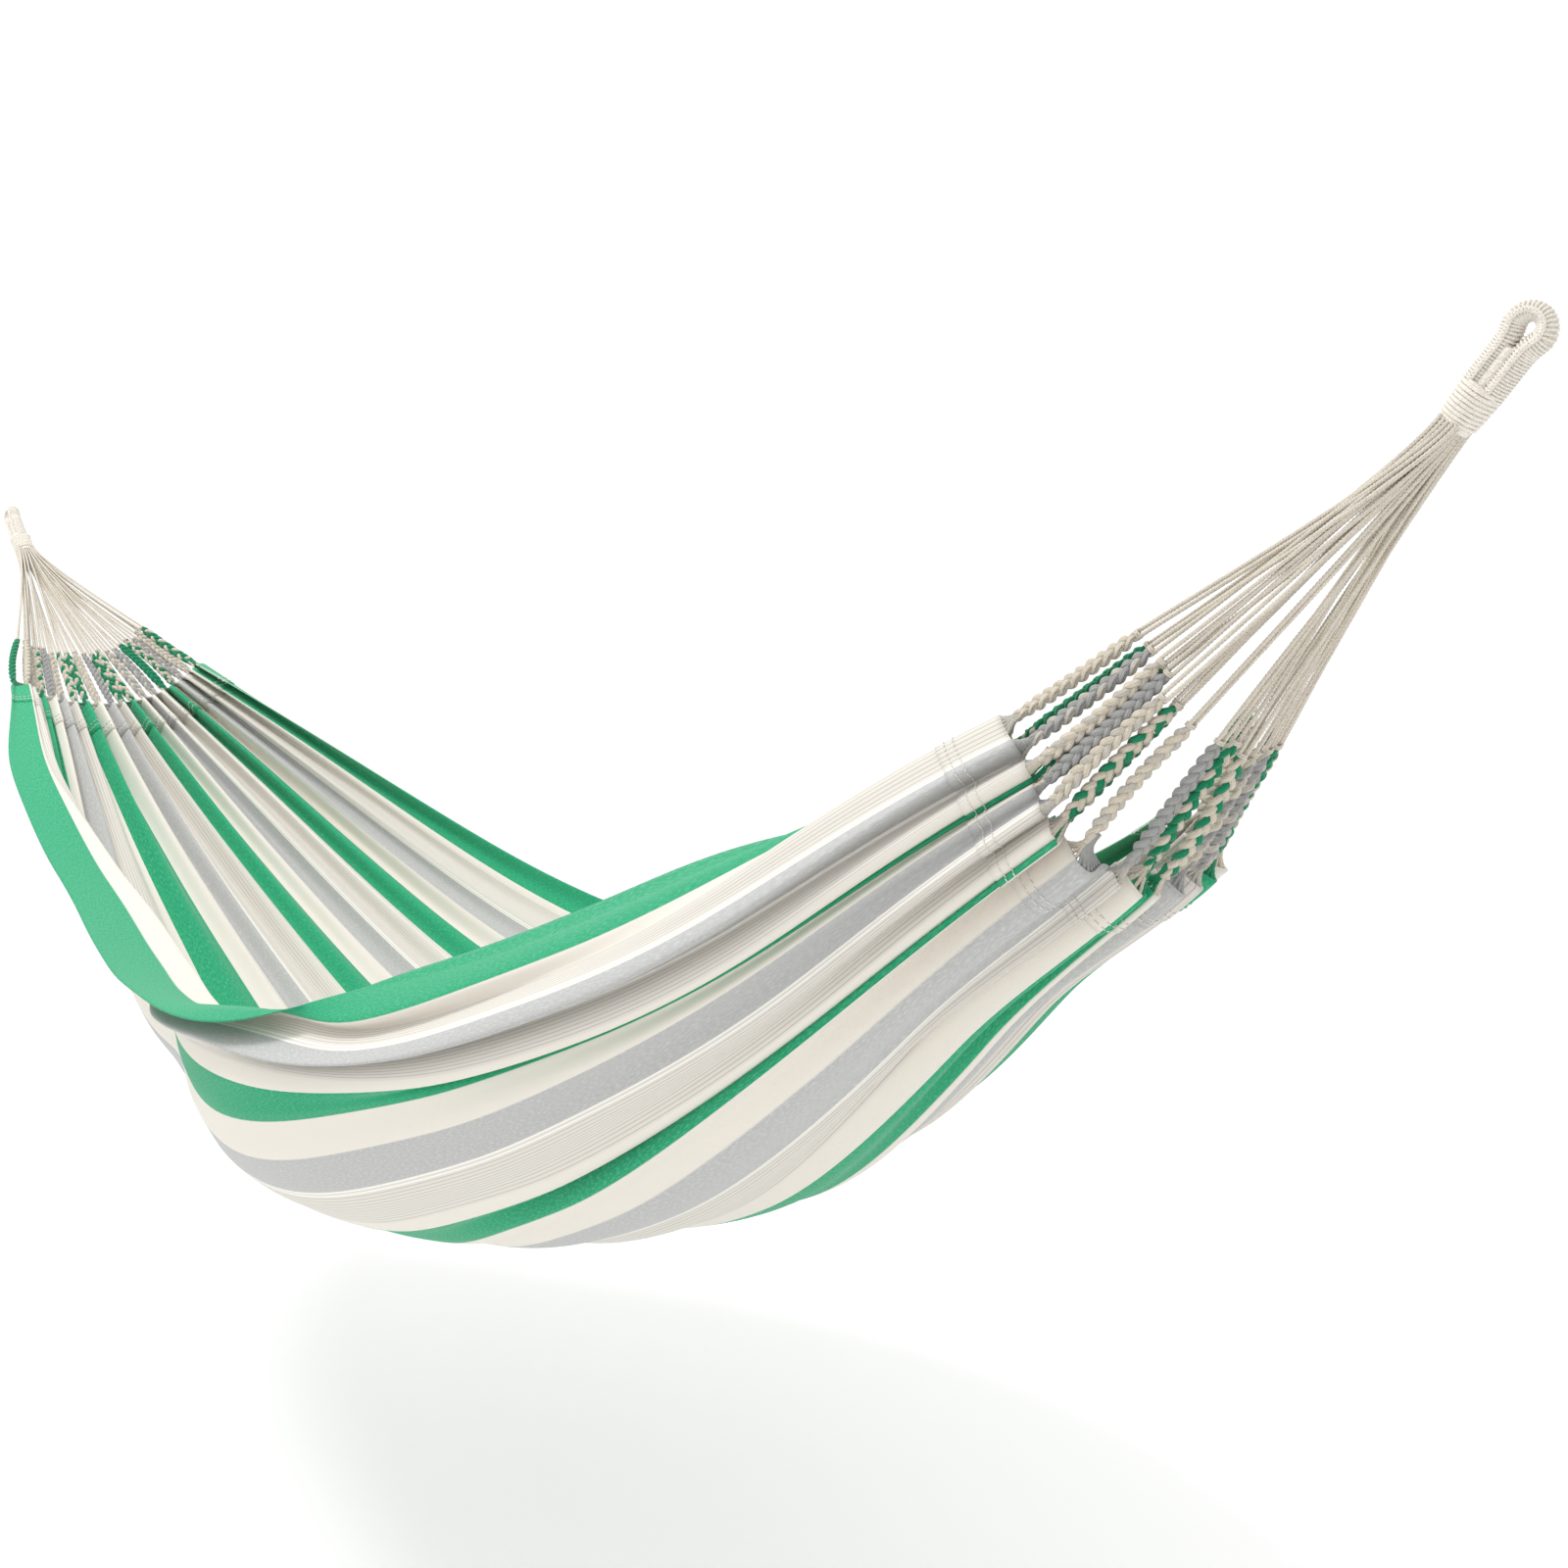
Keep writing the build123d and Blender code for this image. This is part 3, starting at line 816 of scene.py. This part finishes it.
def suspension(side, tops):
    """Twisted cords from the neck, each pair looped through the top of a braid."""
    rng = np.random.default_rng(7 if side == "left" else 8)
    middle = envelope(np.array([EDGE[side]]), np.array([0.5]))[0]
    fan = unit(middle - np.array(NECK[side]))
    tubes = Tubes()
    for i, (top, wide, deep, toward) in enumerate(tops):
        for k in range(CORDS_PER_BRAID):
            start = neck_slot(side, fan, CORDS_PER_BRAID * i + k)
            apart = (k - 0.5) * 2 * CORD_APART
            end = top + wide * apart + deep * rng.uniform(-0.0015, 0.0015)
            reach = np.linalg.norm(end - start)
            first = start + fan * 0.045
            last = end + toward * 0.05
            t = np.linspace(0, 1, 220)[:, None]
            path = ((1 - t) ** 3 * start + 3 * t * (1 - t) ** 2 * first
                    + 3 * t ** 2 * (1 - t) * last + t ** 3 * end)
            sag = CORD_SAG * rng.uniform(-0.4, 1.0) * np.sin(np.pi * t)
            path = path - np.array([0, 0, 1.0]) * sag
            tubes.add(path, CORD_RADIUS, sides=8, lobes=3, lobe_depth=0.15,
                      turns_per_metre=CORD_TWIST, phase=rng.uniform(0, 6.28))
        knot = []
        for turn in np.linspace(0, 2 * np.pi * KNOT_TURNS, 44):
            lift = KNOT_PITCH * turn / (2 * np.pi) - 0.001
            around = (wide * math.cos(turn) + deep * math.sin(turn)) * KNOT_RADIUS
            knot.append(top + around + toward * lift)
        tubes.add(knot, KNOT_CORD, sides=7, lobes=3, lobe_depth=0.12, turns_per_metre=150.0, up=toward)
    return tubes.build(side + "_cords", [CORD]), fan


for side in ("left", "right"):
    tops = []
    for i in range(BRAIDS):
        piece, top, wide, deep, toward = plait(side, i)
        tops.append((top, wide, deep, toward))
    cords, fan = suspension(side, tops)
    if side == "left":
        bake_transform(cords)
    else:
        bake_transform(cords)
    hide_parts(side + "_suspension_cords")


# ---------------------------------------------------------------- eyes
EYE_BORE = 0.0032           # radius of the opening at the hook
WRAP_RADIUS = 0.0096        # of the wrapped eye
WRAP_CORD = 0.0012
WRAP_TWIST = 160.0          # turns in a metre
SEAM_CORD = 0.0024          # the two legs laced to each other
WHIPPING_START = 0.056      # from the hook
WHIPPING_CORD = 0.0017
WHIPPING_PITCH = 0.0034
LEG_OFFSET = 0.0086         # half the distance between the middles of the legs


def eye_axes(side):
    """Direction from the hook to the neck, the way up from it, and the way across."""
    axis = unit(np.array(NECK[side] - HOOK[side]))
    across = np.array([0.0, 1.0, 0.0])
    up = unit(np.cross(axis, across))
    return axis, up if up[2] > 0 else -up, across


def eye_path(side, count=170):
    """Middle line of the eye: up one leg, round the hook and back down the other leg."""
    axis, up, _ = eye_axes(side)
    bend = EYE_BORE + WRAP_RADIUS
    x = np.linspace(WHIPPING_START, EYE_BORE, 90)
    wide = np.maximum(LEG_OFFSET, np.sqrt(np.maximum(bend ** 2 - (x - EYE_BORE) ** 2, 0)))
    wide = soften(wide[None], 7.0, 1)[0]
    angle = np.linspace(math.pi / 2, math.pi, 50)[1:]
    x = np.concatenate([x, EYE_BORE + bend * np.cos(angle)])
    wide = np.concatenate([wide, wide[-1] * np.sin(angle)])
    x = np.concatenate([x, x[-2::-1]])
    y = np.concatenate([wide, -wide[-2::-1]])
    place = np.concatenate([[0], np.cumsum(np.hypot(np.diff(x), np.diff(y)))])
    even = np.linspace(0, place[-1], count)
    x, y = np.interp(even, place, x), np.interp(even, place, y)
    return np.array(HOOK[side]) + axis * x[:, None] + up * y[:, None]


def wound(path, radius, pitch, samples_per_turn=18, up=(0, 1, 0)):
    """Points of a cord wound round a path."""
    path, a, b = rings(path, up)
    step = np.concatenate([[0], np.cumsum(np.linalg.norm(np.diff(path, axis=0), axis=1))])
    turns = step[-1] / pitch
    n = int(turns * samples_per_turn)
    s = np.linspace(0, step[-1], n)
    centre = np.stack([np.interp(s, step, path[:, k]) for k in range(3)], -1)
    ax = np.stack([np.interp(s, step, a[:, k]) for k in range(3)], -1)
    bx = np.stack([np.interp(s, step, b[:, k]) for k in range(3)], -1)
    angle = 2 * np.pi * s / pitch
    r = np.interp(s, step, np.broadcast_to(radius, step.shape))
    return centre + (np.cos(angle) * r)[:, None] * ax + (np.sin(angle) * r)[:, None] * bx


def build_eye(side):
    """Cord bundle bent round the hook, the cord wound on it, and the whipping on its neck."""
    body = side + "_eye"
    path = eye_path(side)
    axis, up, across = eye_axes(side)
    hook = np.array(HOOK[side])

    core = Tubes()
    near_tip = np.exp(-((np.linspace(-1, 1, len(path)) / 0.24) ** 2))
    thickness = WRAP_RADIUS * (1 - 0.22 * near_tip)
    core.add(path, thickness - WRAP_CORD, sides=20, lobes=6, lobe_depth=0.06,
             turns_per_metre=20.0, up=across)
    core_piece = core.build(side + "_eye_bundle", [CORD])
    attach(core_piece, body)
    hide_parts(side + "_eye_core")

    wrap = Tubes()
    wrap.add(wound(path, thickness - WRAP_CORD, 2.05 * WRAP_CORD, up=across), WRAP_CORD, sides=8,
             lobes=3, lobe_depth=0.10, turns_per_metre=WRAP_TWIST, up=axis)
    frame_path, a, b = rings(path, across)
    count = np.arange(len(path))
    for shift in (0.0, math.pi):
        ridge = (frame_path - a * (thickness + 0.0002)[:, None]
                 + b * (0.0016 * np.sin(count * 1.1 + shift))[:, None])
        wrap.add(ridge, WRAP_CORD, sides=7, lobes=3, lobe_depth=0.1,
                 turns_per_metre=WRAP_TWIST, up=axis)
    s = np.linspace(0.020, WHIPPING_START, 60)
    for face in (-1, 1):
        for shift in (0.0, math.pi):
            height = face * (0.0062 + 0.0009 * np.cos(s * 1300 + shift))
            wave = 0.0024 * np.sin(s * 1300 + shift)
            seam = hook + (axis * s[:, None] + across * height[:, None] + up * wave[:, None])
            wrap.add(seam, SEAM_CORD, sides=8, lobes=3, lobe_depth=0.1,
                     turns_per_metre=WRAP_TWIST, up=up)
    wrap_piece = wrap.build(side + "_eye_wrapping", [WRAP])
    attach(wrap_piece, body)
    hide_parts(side + "_eye_wrap")

    whipping = Tubes()
    inside = np.array([hook + axis * x for x in np.linspace(WHIPPING_START - 0.004, 0.088, 24)])
    neck_profile = np.interp(np.linspace(0, 1, 24), [0, 0.12, 0.75, 1],
                             [0.0135, 0.0150, 0.0138, 0.0125])
    whipping.add(inside, neck_profile, sides=28, up=across)
    layer = np.array([hook + axis * x for x in np.linspace(WHIPPING_START - 0.003, 0.083, 40)])
    radius = np.interp(np.linspace(0, 1, 40), [0, 0.1, 0.7, 1], [0.0135, 0.0150, 0.0140, 0.0130])
    whipping.add(wound(layer, radius + 0.0008, WHIPPING_PITCH, 26, up=across), WHIPPING_CORD,
                 sides=8, lobes=3, lobe_depth=0.10, turns_per_metre=WRAP_TWIST, up=axis)
    whipping_piece = whipping.build(side + "_neck_binding", [WRAP])
    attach(whipping_piece, body)
    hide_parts(side + "_neck_whipping")


build_eye("left")
build_eye("right")


# ---------------------------------------------------------------- floor and light
FLOOR_Z = CAD_BOX[0][2] - 0.45          # the hammock hangs clear of the floor
WORLD_STRENGTH = 1.06                   # just enough for a white backdrop
floor = new_mesh("floor",
                 [(-30, -30, FLOOR_Z), (33, -30, FLOOR_Z), (33, 33, FLOOR_Z), (-30, 33, FLOOR_Z)],
                 [(0, 1, 2, 3)], new_material("pale_floor")[0], smooth_shading=False)
shade = floor.data.materials[0].node_tree.nodes["Principled BSDF"]
shade.inputs["Base Color"].default_value = (0.97, 0.97, 0.97, 1)
shade.inputs["Roughness"].default_value = 0.9


def area_light(name, place, target, size, power):
    lamp = bpy.data.lights.new(name, "AREA")
    lamp.shape = "DISK"
    lamp.size = size
    lamp.energy = power
    holder = bpy.data.objects.new(name, lamp)
    holder.location = place
    holder.rotation_euler = (Vector(target) - Vector(place)).to_track_quat("-Z", "Y").to_euler()
    bpy.context.scene.collection.objects.link(holder)


area_light("key", (0.7, -1.3, 2.8), (1.4, 0, -0.6), 1.2, 75)
area_light("fill", (4.8, 1.5, 1.8), (1.6, 0, -0.6), 2.5, 8)
world = bpy.data.worlds.new("studio")
world.use_nodes = True
world.node_tree.nodes["Background"].inputs[0].default_value = (1, 1, 1, 1)
world.node_tree.nodes["Background"].inputs[1].default_value = WORLD_STRENGTH
bpy.context.scene.world = world
bpy.context.scene.view_settings.view_transform = "Standard"
